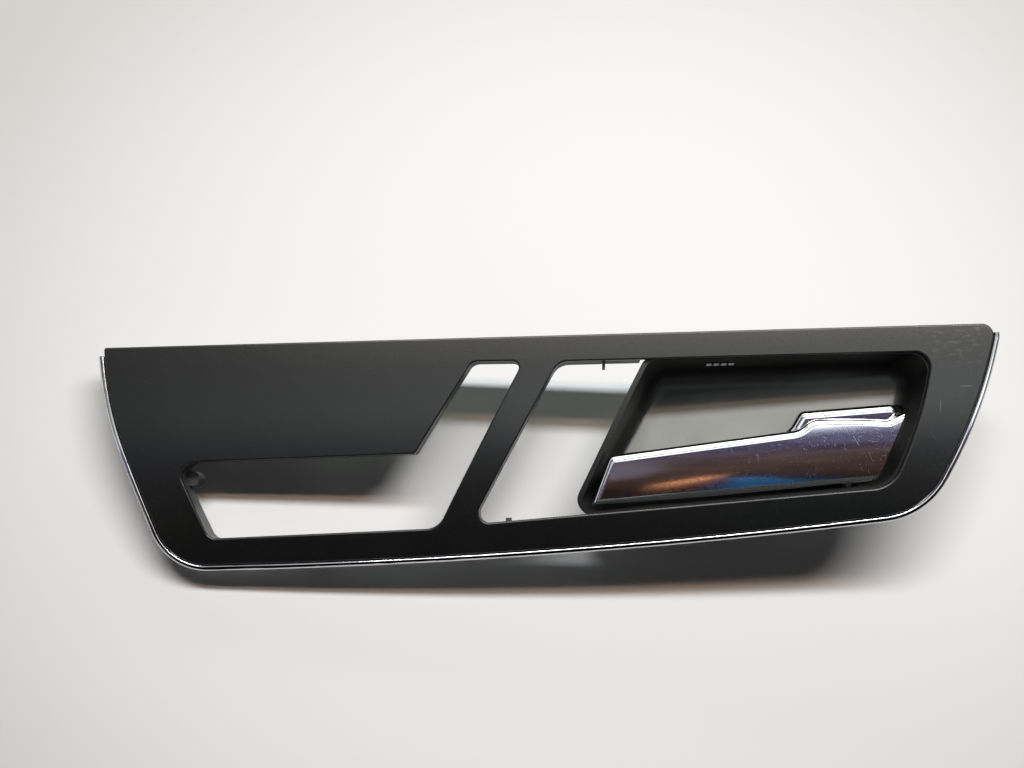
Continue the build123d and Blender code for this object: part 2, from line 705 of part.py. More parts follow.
# Hinge pin, headed below and pressed into the upper ear.
with BuildPart() as pivot_pin:
    with BuildSketch(Plane.XY.offset(pz + EAR_SPANS[0][0])):
        with Locations((px, py)):
            Circle(PIN_R)
    extrude(amount=EAR_SPANS[1][1] - EAR_SPANS[0][0] + 0.5)
    chamfer(pivot_pin.edges().sort_by(Axis.Z)[-1], 0.4)
    with BuildSketch(Plane.XY.offset(pz + EAR_SPANS[0][0])):
        with Locations((px, py)):
            Circle(PIN_R + 1.2)
    extrude(amount=-1.0)

# Torsion spring round the pin: one leg in the well's floor, the other against the arm's lug.
with BuildPart() as return_spring:
    with BuildSketch(Plane(origin=coil @ 0, z_dir=coil % 0)):
        RegularPolygon(WIRE_R, 8)
    sweep(path=coil, is_frenet=True)
    ends = return_spring.faces().filter_by(GeomType.PLANE)
    extrude(ends.sort_by_distance(coil @ 0)[0], amount=WELL_FLOOR + 1.6 - py, dir=-(coil % 0))
    extrude(ends.sort_by_distance(coil @ 1)[0], amount=10.5, dir=coil % 1)

# Rubber buffer that the arm rests on.
buffer_face = px + ARM_WIDTH / 2 + REST_GAP
with BuildPart() as rest_buffer:
    with BuildSketch(Plane.YZ.offset(buffer_face)):
        with Locations((11, pz + 3.5)):
            Circle(3)
    extrude(amount=px + 7.2 - buffer_face)
    with BuildSketch(Plane.YZ.offset(px + 7.2)):
        with Locations((11, pz + 3.5)):
            Circle(BUFFER_STEM_R)
    extrude(amount=2.0)
    with BuildSketch(Plane.YZ.offset(px + 9.2)):
        with Locations((11, pz + 3.5)):
            Circle(BUFFER_STEM_R + 0.6)
    extrude(amount=2.4, taper=20)
    chamfer(rest_buffer.edges().sort_by(Axis.X)[0], 0.5)

# Screws that hold the bowl to the carrier.
with BuildPart() as bowl_screws:
    for x, z, top in LUGS:
        with BuildSketch(at_depth(top + LUG)):
            with Locations((x, z)):
                Circle(SCREW_R)
        extrude(amount=LUG + (5.5 if top < -6 else 4.0))
        with BuildSketch(at_depth(top + LUG)):
            with Locations((x, z)):
                Circle(3.4)
        extrude(amount=-2.2)
        with BuildSketch(at_depth(top + LUG + 2.2)):
            with Locations((x, z)):
                RegularPolygon(1.6, 6)
        extrude(amount=1.4, mode=Mode.SUBTRACT)

# Small screws that hold the cover to the core.
with BuildPart() as cover_screws:
    for x, z in COVER_SCREWS:
        with BuildSketch(at_depth(LEVER_BACK - 1.5)):
            with Locations((x, z)):
                Circle(1.0)
        extrude(amount=3.4)
        with BuildSketch(at_depth(LEVER_BACK - 1.5)):
            with Locations((x, z)):
                Circle(2.2)
        extrude(amount=-1.4)
        with BuildSketch(at_depth(LEVER_BACK - 0.1)):
            with Locations((x, z)):
                RegularPolygon(1.0, 6)
        extrude(amount=0.8, mode=Mode.SUBTRACT)

# Spring clips bent from strip, pushed over the carrier's blades.
width, thickness, reach = CLIP_BLADE
grip, bulge, tip = thickness / 2 + 0.35, 4.2, reach + 0.4
with BuildPart() as door_clips:
    for x, z in CLIPS:
        with BuildSketch(Plane.YZ.offset(x - width / 2 + 0.5)):
            with BuildLine():
                half = [(-2.4, grip), (-1.4, 2.2), (3.0, bulge), (tip, 1.6)]
                mirrored = [(y, -side) for y, side in reversed(half)]
                Polyline(*[(y, z + side) for y, side in half + mirrored])
                offset(amount=CLIP_SHEET / 2, side=Side.BOTH, kind=Kind.INTERSECTION)
            make_face()
        extrude(amount=width - 1)

for name, piece in (
    ("decor_panel", decor_panel),
    ("carrier_frame", carrier_frame),
    ("edge_strip", edge_strip),
    ("handle_bowl", handle_bowl),
    ("light_lens", light_lens),
    ("lever_cover", lever_cover),
    ("lever_core", lever_core),
    ("pivot_pin", pivot_pin),
    ("return_spring", return_spring),
    ("rest_buffer", rest_buffer),
    ("bowl_screws", bowl_screws),
    ("cover_screws", cover_screws),
    ("door_clips", door_clips),
):
    piece.part.label = name
    export_step(piece.part, f"parts/{name}.step")
    print(name, piece.part.is_valid, round(piece.part.volume), len(piece.part.solids()))
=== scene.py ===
"""Looks of a car's inside door handle: finishes, screws, spring, stage and camera.

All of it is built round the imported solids. X runs to the right along the blade, Z up and Y from
the cabin into the door. Lengths are in metres.
"""

import math

import bmesh
import bpy
from mathutils import Matrix, Vector


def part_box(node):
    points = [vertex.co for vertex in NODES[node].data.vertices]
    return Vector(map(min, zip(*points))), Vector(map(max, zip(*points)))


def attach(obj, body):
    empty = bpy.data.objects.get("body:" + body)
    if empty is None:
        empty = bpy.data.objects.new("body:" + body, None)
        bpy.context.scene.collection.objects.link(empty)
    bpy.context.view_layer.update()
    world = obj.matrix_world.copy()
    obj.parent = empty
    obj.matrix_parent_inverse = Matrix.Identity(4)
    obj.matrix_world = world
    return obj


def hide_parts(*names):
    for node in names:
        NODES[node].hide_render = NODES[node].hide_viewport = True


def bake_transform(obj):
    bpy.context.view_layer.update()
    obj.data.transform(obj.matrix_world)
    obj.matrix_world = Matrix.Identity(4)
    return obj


bl_info = {
    "name": "Inside door handle",
    "version": (1, 0, 0),
    "blender": (4, 5, 0),
    "location": "View3D > Sidebar > Door handle",
    "description": "Finishes an inside door handle and sets its stage",
    "category": "Object",
}

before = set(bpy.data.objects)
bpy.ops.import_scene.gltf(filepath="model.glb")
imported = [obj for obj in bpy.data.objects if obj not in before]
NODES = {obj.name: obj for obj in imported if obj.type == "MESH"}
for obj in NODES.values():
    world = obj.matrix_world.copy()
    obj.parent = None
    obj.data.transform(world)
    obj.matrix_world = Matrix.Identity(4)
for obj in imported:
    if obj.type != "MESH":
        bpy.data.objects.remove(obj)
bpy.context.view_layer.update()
MM = 0.001

# Inputs of a map range, and those of a mix that blends colours or plain values.
VALUE, FROM_MIN, FROM_MAX, TO_MIN, TO_MAX = range(5)
SHARE, PLAIN_A, PLAIN_B, COLOUR_A, COLOUR_B = 0, 2, 3, 6, 7

# Along X: where hands begin to reach the facing and the lever, and where they reach them fully.
FACING_REACH = (0.175, 0.2)
LEVER_REACH = (0.085, 0.15)
# Wear of chrome above which it is scratched and specked as well as hazed.
WORN = 0.5
# Floor of the bowl, as from and to: how squarely it looks out, how deep it lies and how high up it
# is painted lit, up to the edge of the roof's shadow. Its upper edge leans along X.
FLOOR_LOOK = (-0.93, -0.985)
FLOOR_DEPTH = (-0.013, -0.010)
FLOOR_SHADOW_EDGE = (0.012, 0.005)
FLOOR_LEAN = -0.08

# Meshes: distance at which corners are one, and the angle from which an edge is drawn sharp.
WELD = 1e-6
SPRING_CREASE = math.radians(50)
SCREW_CREASE = math.radians(38)
# Screws: recess, thread and point. Lengths in millimetres that differ by less than SAME are one.
SCREW_SIDES = 36
LOBES, LOBE_DEPTH = 6, 0.14
STEPS_PER_TURN = 8
THREAD_ROOT = 0.74
POINT_START, POINT_TAPER = 0.82, 0.75
SMALL_PITCH = 0.6
SAME = 0.02

# Stage: where the part rests on the board, the sheets' half width and top, the curve between board
# and floor, and the floor's far end.
REST_X = -0.165
SHEET_HALF, BOARD_TOP = 2.0, 2.0
BEND_TOP, BEND_RADIUS, BEND_STEPS = -0.25, 0.3, 8
FLOOR_END = -2.2
# Room for reflections: its middle along X, its radius, its floor's depth, its grid, and its first
# azimuth and elevation with their sweeps, in degrees. Its colours start at ROOM_DARK.
ROOM_X, ROOM_RADIUS, ROOM_FLOOR = 0.1, 0.62, 0.53
ROOM_COLUMNS, ROOM_LEVELS = 29, 38
ROOM_LEFT, ROOM_SWEEP = -70, 145
ROOM_BOTTOM, ROOM_RISE = -86, 114
ROOM_DARK = -60
# Camera: width of its sensor in millimetres, and the nearest thing it sees.
SENSOR_WIDTH = 36.0
NEAREST = 0.01


def linear(code):
    """Linear colour of an sRGB hex value."""
    parts = [int(code[i : i + 2], 16) / 255 for i in (1, 3, 5)]
    return tuple(c / 12.92 if c <= 0.04045 else ((c + 0.055) / 1.055) ** 2.4 for c in parts)


def feed(tree, node, inputs):
    """Sets a node's inputs to values, or links them to sockets.

    A node given as a value stands for its first live output.
    """
    for name, value in inputs.items():
        socket = node.inputs[name]
        if isinstance(value, bpy.types.Node):
            value = next(output for output in value.outputs if output.enabled)
        if isinstance(value, bpy.types.NodeSocket):
            tree.links.new(value, socket)
        else:
            socket.default_value = (*value, 1.0) if socket.type == "RGBA" else value


def add(tree, kind, inputs=None, **settings):
    """Adds a node with its settings and inputs."""
    made = tree.nodes.new(kind)
    for name, value in settings.items():
        setattr(made, name, value)
    feed(tree, made, inputs or {})
    return made


def finish(name, sockets):
    """New material whose shader has these constant values.

    Also gives its tree, its shader and the Object coordinates.
    """
    made = bpy.data.materials.new(name)
    made.use_nodes = True
    tree = made.node_tree
    shader = tree.nodes["Principled BSDF"]
    feed(tree, shader, sockets)
    place = add(tree, "ShaderNodeTexCoord").outputs["Object"]
    return made, tree, shader, place


def hairlines(tree, place, cell, length, width, keep):
    """Short straight marks on a face that looks along Y.

    There is one in each kept cell, each turned and faded its own way.
    """
    full_width, full_length, end = width * 0.4, length * 0.3, length * 0.5
    flat = add(tree, "ShaderNodeVectorMath", {0: place, 1: (1, 0, 1)}, operation="MULTIPLY")
    cells = add(tree, "ShaderNodeTexVoronoi", {"Vector": flat, "Scale": 1 / cell})
    chance = add(tree, "ShaderNodeSeparateColor", {"Color": cells.outputs["Color"]}).outputs
    off = add(
        tree, "ShaderNodeVectorMath", {0: flat, 1: cells.outputs["Position"]}, operation="SUBTRACT"
    )
    turn = add(tree, "ShaderNodeMath", {0: chance["Red"], 1: math.tau}, operation="MULTIPLY")
    turned = add(tree, "ShaderNodeVectorRotate", {"Vector": off, "Axis": (0, 1, 0), "Angle": turn})
    axes = add(tree, "ShaderNodeSeparateXYZ", {"Vector": turned}).outputs
    along = add(tree, "ShaderNodeMath", {0: axes["X"]}, operation="ABSOLUTE")
    across = add(tree, "ShaderNodeMath", {0: axes["Z"]}, operation="ABSOLUTE")
    thin = add(
        tree,
        "ShaderNodeMapRange",
        {VALUE: across, FROM_MIN: full_width, FROM_MAX: width, TO_MIN: 1.0, TO_MAX: 0.0},
    )
    short = add(
        tree,
        "ShaderNodeMapRange",
        {VALUE: along, FROM_MIN: full_length, FROM_MAX: end, TO_MIN: 1.0, TO_MAX: 0.0},
    )
    kept = add(tree, "ShaderNodeMath", {0: chance["Green"], 1: keep}, operation="LESS_THAN")
    line = add(tree, "ShaderNodeMath", {0: thin, 1: short}, operation="MULTIPLY")
    line = add(tree, "ShaderNodeMath", {0: line, 1: kept}, operation="MULTIPLY")
    return add(tree, "ShaderNodeMath", {0: line, 1: chance["Blue"]}, operation="MULTIPLY")


def dress(node, made):
    """Gives a solid its finish."""
    slots = NODES[node].data.materials
    slots.clear()
    slots.append(made)


class FacingProps(bpy.types.PropertyGroup):
    """Finish of the facing."""

    colour: bpy.props.FloatVectorProperty(
        name="Lacquer",
        description="Colour of the facing's lacquer",
        subtype="COLOR",
        default=linear("#0E100F"),
    )
    roughness: bpy.props.FloatProperty(
        name="Roughness",
        description="Roughness of the clean lacquer",
        subtype="FACTOR",
        default=0.3,
    )
    grain: bpy.props.FloatProperty(
        name="Grain",
        description="Size of the lacquer's fine grain",
        subtype="DISTANCE",
        default=0.45 * MM,
    )


class ChromeProps(bpy.types.PropertyGroup):
    """Finish of the bright pieces."""

    colour: bpy.props.FloatVectorProperty(
        name="Chrome",
        description="Colour of the plating",
        subtype="COLOR",
        default=linear("#D3D3D6"),
    )
    roughness: bpy.props.FloatProperty(
        name="Roughness",
        description="Roughness of the polished plating",
        subtype="FACTOR",
        default=0.05,
    )
    speck: bpy.props.FloatProperty(
        name="Speck spacing",
        description="Mean distance between worn specks",
        subtype="DISTANCE",
        default=3.0 * MM,
    )
    scratch: bpy.props.FloatProperty(
        name="Scratch length",
        description="Length of the longest scratches",
        subtype="DISTANCE",
        default=6.5 * MM,
    )


class PlasticProps(bpy.types.PropertyGroup):
    """Finish of the moulded black pieces."""

    bowl: bpy.props.FloatVectorProperty(
        name="Bowl", description="Colour of the bowl", subtype="COLOR", default=linear("#0F100F")
    )
    carrier: bpy.props.FloatVectorProperty(
        name="Carrier",
        description="Colour of the carrier",
        subtype="COLOR",
        default=linear("#2B2C2B"),
    )
    core: bpy.props.FloatVectorProperty(
        name="Core",
        description="Colour of the lever's core",
        subtype="COLOR",
        default=linear("#1E1F1F"),
    )
    grain: bpy.props.FloatProperty(
        name="Grain",
        description="Size of the eroded mould grain",
        subtype="DISTANCE",
        default=0.6 * MM,
    )


class ScrewProps(bpy.types.PropertyGroup):
    """Sizes of the tapping screws."""

    pitch: bpy.props.FloatProperty(
        name="Pitch",
        description="Pitch of the large screws' thread",
        subtype="DISTANCE",
        default=1.3 * MM,
    )
    recess: bpy.props.FloatProperty(
        name="Recess",
        description="Size of the six-lobed recess, as a share of the head",
        default=0.5,
    )


class StageProps(bpy.types.PropertyGroup):
    """Surface behind the part, lamps and camera."""

    wall: bpy.props.FloatVectorProperty(
        name="Surface",
        description="Colour of the surface behind the part",
        subtype="COLOR",
        default=linear("#F2F3F3"),
    )
    floor: bpy.props.FloatVectorProperty(
        name="Floor", description="Colour of the floor", subtype="COLOR", default=linear("#CFCFCD")
    )
    tilt: bpy.props.FloatProperty(
        name="Tilt",
        description="Slope of the surface from the left end to the right",
        subtype="ANGLE",
        default=0.0787,
    )
    key: bpy.props.FloatProperty(
        name="Key", description="Power of the long cool lamp", default=80.0
    )
    warm: bpy.props.FloatProperty(
        name="Warm", description="Power of the long warm lamp", default=17.0
    )
    ceiling: bpy.props.FloatProperty(
        name="Ceiling", description="Power of the lamp overhead", default=4.5
    )
    back: bpy.props.FloatProperty(
        name="Back", description="Power of the lamp behind the part", default=7.0
    )
    eye: bpy.props.FloatVectorProperty(
        name="Eye",
        description="Place of the camera",
        subtype="TRANSLATION",
        default=(0.03109, -0.52935, -0.04102),
    )
    turn: bpy.props.FloatVectorProperty(
        name="Turn",
        description="Azimuth, elevation and roll of the camera",
        default=(3.0, -7.0, 1.1),
    )
    focal: bpy.props.FloatProperty(
        name="Lens", description="Focal length in millimetres", default=40.43
    )


class HANDLE_OT_facing(bpy.types.Operator):
    """Lacquers the facing"""

    bl_idname = "handle.facing"
    bl_label = "Facing"

    def execute(self, context):
        props = context.scene.handle_facing
        # Soft-touch lacquer sprayed on ABS: a deep, slightly greenish black with a satin sheen and
        # a very fine grain. Hands have smeared and scratched it at the end beside the lever. The
        # grain is drawn coarser than life.
        made, tree, shader, place = finish("soft_touch_lacquer", {"IOR": 1.55})
        grain = add(
            tree, "ShaderNodeTexNoise", {"Vector": place, "Scale": 1 / props.grain, "Detail": 1.0}
        )
        cloud = add(
            tree, "ShaderNodeTexNoise", {"Vector": place, "Scale": 1 / (30 * MM), "Detail": 4.0}
        )
        smear_place = add(
            tree,
            "ShaderNodeMapping",
            {"Vector": place, "Scale": (60, 60, 130), "Rotation": (0, 0.5, 0)},
        )
        smear = add(
            tree, "ShaderNodeTexNoise", {"Vector": smear_place, "Detail": 3.0, "Distortion": 0.6}
        )
        axes = add(tree, "ShaderNodeSeparateXYZ", {"Vector": place}).outputs
        handled = add(
            tree,
            "ShaderNodeMapRange",
            {VALUE: axes["X"], FROM_MIN: FACING_REACH[0], FROM_MAX: FACING_REACH[1]},
            interpolation_type="SMOOTHSTEP",
        )
        smeared = add(
            tree,
            "ShaderNodeMapRange",
            {VALUE: smear, FROM_MIN: 0.54, FROM_MAX: 0.66},
            interpolation_type="SMOOTHSTEP",
        )
        smeared = add(tree, "ShaderNodeMath", {0: smeared, 1: handled}, operation="MULTIPLY")
        marks = hairlines(tree, place, 9 * MM, 6 * MM, 0.16 * MM, 0.25)
        shown = add(tree, "ShaderNodeMath", {0: handled, 1: 0.7, 2: 0.05}, operation="MULTIPLY_ADD")
        marks = add(tree, "ShaderNodeMath", {0: marks, 1: shown}, operation="MULTIPLY")
        pale = tuple(c * 2.0 + 0.002 for c in props.colour)
        dusty = add(
            tree,
            "ShaderNodeMapRange",
            {VALUE: cloud, FROM_MIN: 0.35, FROM_MAX: 0.8, TO_MAX: 0.4},
            interpolation_type="SMOOTHSTEP",
        )
        base = add(
            tree,
            "ShaderNodeMix",
            {SHARE: dusty, COLOUR_A: tuple(props.colour), COLOUR_B: pale},
            data_type="RGBA",
        )
        base = add(
            tree,
            "ShaderNodeMix",
            {SHARE: marks, COLOUR_A: base, COLOUR_B: linear("#8F8F8A")},
            data_type="RGBA",
        )
        rough = add(
            tree,
            "ShaderNodeMapRange",
            {VALUE: grain, FROM_MIN: 0.3, FROM_MAX: 0.7, TO_MIN: -0.03, TO_MAX: 0.03},
        )
        rough = add(tree, "ShaderNodeMath", {0: rough, 1: props.roughness}, operation="ADD")
        rough = add(
            tree, "ShaderNodeMath", {0: smeared, 1: 0.1, 2: rough}, operation="MULTIPLY_ADD"
        )
        relief = add(tree, "ShaderNodeBump", {"Height": grain, "Distance": 0.012 * MM})
        feed(tree, shader, {"Base Color": base, "Roughness": rough, "Normal": relief})
        dress("decor_panel", made)
        return {"FINISHED"}


class HANDLE_OT_carrier(bpy.types.Operator):
    """Gives the carrier its moulded finish"""

    bl_idname = "handle.carrier"
    bl_label = "Carrier"

    def execute(self, context):
        props = context.scene.handle_plastic
        # Talc-filled polypropylene, moulded: dark grey with faint flow marks and the eroded grain
        # of its mould.
        made, tree, shader, place = finish("filled_polypropylene", {"IOR": 1.49})
        grain = add(
            tree, "ShaderNodeTexNoise", {"Vector": place, "Scale": 1 / props.grain, "Detail": 2.0}
        )
        flow_place = add(tree, "ShaderNodeMapping", {"Vector": place, "Scale": (18, 60, 60)})
        flow = add(tree, "ShaderNodeTexNoise", {"Vector": flow_place, "Detail": 3.0})
        streak = add(
            tree,
            "ShaderNodeMapRange",
            {VALUE: flow, FROM_MIN: 0.35, FROM_MAX: 0.75},
            interpolation_type="SMOOTHSTEP",
        )
        pale = tuple(c * 1.5 for c in props.carrier)
        base = add(
            tree,
            "ShaderNodeMix",
            {SHARE: streak, COLOUR_A: tuple(props.carrier), COLOUR_B: pale},
            data_type="RGBA",
        )
        rough = add(
            tree,
            "ShaderNodeMapRange",
            {VALUE: flow, FROM_MIN: 0.3, FROM_MAX: 0.7, TO_MIN: 0.42, TO_MAX: 0.56},
        )
        relief = add(tree, "ShaderNodeBump", {"Height": grain, "Distance": 0.03 * MM})
        feed(tree, shader, {"Base Color": base, "Roughness": rough, "Normal": relief})
        dress("carrier_frame", made)
        return {"FINISHED"}


def plated_chrome(name, props, wear):
    """Bright chrome on a moulded piece: a hard mirror with a slightly wavy skin.

    Fine wiping marks haze it. Where hands and rings meet it there are scratches and specks, drawn
    wider than life to show.
    """
    made, tree, shader, place = finish(name, {"Base Color": props.colour, "Metallic": 1.0})
    haze_place = add(tree, "ShaderNodeMapping", {"Vector": place, "Scale": (160, 160, 420)})
    haze = add(tree, "ShaderNodeTexNoise", {"Vector": haze_place, "Detail": 6.0, "Roughness": 0.7})
    skin = add(tree, "ShaderNodeTexNoise", {"Vector": place, "Scale": 1 / (14 * MM), "Detail": 1.0})
    rough = add(
        tree, "ShaderNodeMapRange", {VALUE: haze, FROM_MIN: 0.4, FROM_MAX: 0.7, TO_MAX: 0.1 * wear}
    )
    rough = add(tree, "ShaderNodeMath", {0: rough, 1: props.roughness}, operation="ADD")
    if wear > WORN:
        axes = add(tree, "ShaderNodeSeparateXYZ", {"Vector": place}).outputs
        held = add(
            tree,
            "ShaderNodeMapRange",
            {
                VALUE: axes["X"],
                FROM_MIN: LEVER_REACH[0],
                FROM_MAX: LEVER_REACH[1],
                TO_MIN: 0.45,
                TO_MAX: 1.0,
            },
        )
        long_marks = hairlines(tree, place, props.scratch, props.scratch, 0.08 * MM, 0.7)
        short_marks = hairlines(tree, place, 1.7 * MM, 1.8 * MM, 0.07 * MM, 0.4)
        specks = hairlines(tree, place, props.speck, 0.4 * MM, 0.2 * MM, 0.12)
        marks = add(tree, "ShaderNodeMath", {0: long_marks, 1: short_marks}, operation="MAXIMUM")
        marks = add(tree, "ShaderNodeMath", {0: marks, 1: specks}, operation="MAXIMUM")
        marks = add(tree, "ShaderNodeMath", {0: marks, 1: held}, operation="MULTIPLY")
        rough = add(tree, "ShaderNodeMath", {0: marks, 1: 0.3, 2: rough}, operation="MULTIPLY_ADD")
    relief = add(tree, "ShaderNodeBump", {"Height": skin, "Distance": 0.02 * MM})
    feed(tree, shader, {"Roughness": rough, "Normal": relief})
    return made


class HANDLE_OT_strip(bpy.types.Operator):
    """Plates the edge strip"""

    bl_idname = "handle.strip"
    bl_label = "Edge strip"

    def execute(self, context):
        dress("edge_strip", plated_chrome("chromed_strip", context.scene.handle_chrome, 0.4))
        return {"FINISHED"}


class HANDLE_OT_bowl(bpy.types.Operator):
    """Finishes the bowl and its lens"""

    bl_idname = "handle.bowl"
    bl_label = "Bowl"

    def execute(self, context):
        props = context.scene.handle_plastic
        # ABS moulded in a spark-eroded tool: black, with a skin of tiny rounded pits that spreads
        # the light into a broad sheen. Its floor is painted pale grey as painted light, standing in
        # for the lamps' sheen on it, and stops as painted shade where the roof's shadow falls. Dust
        # in its pits varies that grey.
        made, tree, shader, place = finish("eroded_abs", {"IOR": 1.53, "Specular IOR Level": 0.4})
        pits = add(
            tree,
            "ShaderNodeTexVoronoi",
            {"Vector": place, "Scale": 1 / props.grain},
            feature="SMOOTH_F1",
        )
        fine = add(
            tree, "ShaderNodeTexNoise", {"Vector": place, "Scale": 2 / props.grain, "Detail": 2.0}
        )
        cloud = add(
            tree, "ShaderNodeTexNoise", {"Vector": place, "Scale": 1 / (20 * MM), "Detail": 4.0}
        )
        dusty = add(
            tree,
            "ShaderNodeMapRange",
            {VALUE: cloud, FROM_MIN: 0.4, FROM_MAX: 0.75},
            interpolation_type="SMOOTHSTEP",
        )
        normal = add(tree, "ShaderNodeNewGeometry").outputs["Normal"]
        look = add(tree, "ShaderNodeSeparateXYZ", {"Vector": normal}).outputs["Y"]
        floor = add(
            tree,
            "ShaderNodeMapRange",
            {VALUE: look, FROM_MIN: FLOOR_LOOK[0], FROM_MAX: FLOOR_LOOK[1]},
        )
        axes = add(tree, "ShaderNodeSeparateXYZ", {"Vector": place}).outputs
        deep = add(
            tree,
            "ShaderNodeMapRange",
            {VALUE: axes["Y"], FROM_MIN: FLOOR_DEPTH[0], FROM_MAX: FLOOR_DEPTH[1]},
        )
        floor = add(tree, "ShaderNodeMath", {0: floor, 1: deep}, operation="MULTIPLY")
        # The pale grey ends, as painted shade, along the edge of the roof's shadow on the floor.
        height = add(
            tree,
            "ShaderNodeMath",
            {0: axes["X"], 1: FLOOR_LEAN, 2: axes["Z"]},
            operation="MULTIPLY_ADD",
        )
        unshadowed = add(
            tree,
            "ShaderNodeMapRange",
            {VALUE: height, FROM_MIN: FLOOR_SHADOW_EDGE[0], FROM_MAX: FLOOR_SHADOW_EDGE[1]},
        )
        floor = add(tree, "ShaderNodeMath", {0: floor, 1: unshadowed}, operation="MULTIPLY")
        # Painted light: the pale grey that stands in for the floor's sheen, varied by dust.
        painted_lit_grey = add(
            tree,
            "ShaderNodeMix",
            {SHARE: dusty, COLOUR_A: linear("#8A8C88"), COLOUR_B: linear("#979894")},
            data_type="RGBA",
        )
        base = add(
            tree,
            "ShaderNodeMix",
            {SHARE: floor, COLOUR_A: tuple(props.bowl), COLOUR_B: painted_lit_grey},
            data_type="RGBA",
        )
        rough = add(
            tree,
            "ShaderNodeMapRange",
            {VALUE: fine, FROM_MIN: 0.3, FROM_MAX: 0.7, TO_MIN: 0.46, TO_MAX: 0.54},
        )
        relief = add(tree, "ShaderNodeBump", {"Height": pits, "Distance": 0.03 * MM})
        feed(tree, shader, {"Base Color": base, "Roughness": rough, "Normal": relief})
        dress("handle_bowl", made)
        # Acrylic moulded in one piece: a smoked plate up in the roof, and four frosted pads below
        # it. The pads glow faintly as painted glints, though no lamp lights them.
        lens, tree, shader, place = finish(
            "smoked_acrylic", {"IOR": 1.49, "Emission Strength": 0.08}
        )
        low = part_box("light_lens")[0][2]
        height = add(tree, "ShaderNodeSeparateXYZ", {"Vector": place}).outputs["Z"]
        pads = add(
            tree,
            "ShaderNodeMapRange",
            {VALUE: height, FROM_MIN: low + 0.7 * MM, FROM_MAX: low + 0.5 * MM},
        )
        film = add(
            tree, "ShaderNodeTexNoise", {"Vector": place, "Scale": 1 / (2 * MM), "Detail": 2.0}
        )
        rough = add(
            tree,
            "ShaderNodeMapRange",
            {VALUE: film, FROM_MIN: 0.4, FROM_MAX: 0.8, TO_MIN: 0.1, TO_MAX: 0.3},
        )
        base = add(
            tree,
            "ShaderNodeMix",
            {SHARE: pads, COLOUR_A: linear("#0C0D0E"), COLOUR_B: linear("#E8ECEE")},
            data_type="RGBA",
        )
        # Painted glints: the pads' faint glow.
        glow = add(
            tree,
            "ShaderNodeMix",
            {SHARE: pads, COLOUR_A: linear("#000000"), COLOUR_B: linear("#E4E8EE")},
            data_type="RGBA",
        )
        feed(tree, shader, {"Base Color": base, "Roughness": rough, "Emission Color": glow})
        dress("light_lens", lens)
        return {"FINISHED"}


class HANDLE_OT_lever(bpy.types.Operator):
    """Plates the lever's cover and finishes its core"""

    bl_idname = "handle.lever"
    bl_label = "Lever"

    def execute(self, context):
        dress("lever_cover", plated_chrome("chromed_lever", context.scene.handle_chrome, 1.0))
        props = context.scene.handle_plastic
        # Glass-filled nylon, moulded: black, with pale fibre ends that show as a fine streaky skin.
        made, tree, shader, place = finish("filled_nylon", {"IOR": 1.53})
        fibre_place = add(tree, "ShaderNodeMapping", {"Vector": place, "Scale": (350, 1400, 1400)})
        fibre = add(tree, "ShaderNodeTexNoise", {"Vector": fibre_place, "Detail": 2.0})
        ends = add(
            tree,
            "ShaderNodeMapRange",
            {VALUE: fibre, FROM_MIN: 0.5, FROM_MAX: 0.75},
            interpolation_type="SMOOTHSTEP",
        )
        pale = tuple(c * 2.0 + 0.006 for c in props.core)
        base = add(
            tree,
            "ShaderNodeMix",
            {SHARE: ends, COLOUR_A: tuple(props.core), COLOUR_B: pale},
            data_type="RGBA",
        )
        rough = add(
            tree,
            "ShaderNodeMapRange",
            {VALUE: fibre, FROM_MIN: 0.3, FROM_MAX: 0.7, TO_MIN: 0.38, TO_MAX: 0.5},
        )
        relief = add(tree, "ShaderNodeBump", {"Height": fibre, "Distance": 0.02 * MM})
        feed(tree, shader, {"Base Color": base, "Roughness": rough, "Normal": relief})
        dress("lever_core", made)
        return {"FINISHED"}


def drawn_steel(name, colour, roughness, pull):
    """Steel drawn or rolled, thinly plated: grey with fine lines along the way it was drawn."""
    made, tree, shader, place = finish(name, {"Base Color": linear(colour), "Metallic": 1.0})
    stretched = add(tree, "ShaderNodeMapping", {"Vector": place, "Scale": pull})
    lines = add(tree, "ShaderNodeTexNoise", {"Vector": stretched, "Detail": 3.0})
    rough = add(
        tree,
        "ShaderNodeMapRange",
        {
            VALUE: lines,
            FROM_MIN: 0.3,
            FROM_MAX: 0.7,
            TO_MIN: roughness - 0.08,
            TO_MAX: roughness + 0.08,
        },
    )
    relief = add(tree, "ShaderNodeBump", {"Height": lines, "Distance": 0.008 * MM})
    feed(tree, shader, {"Roughness": rough, "Normal": relief})
    return made


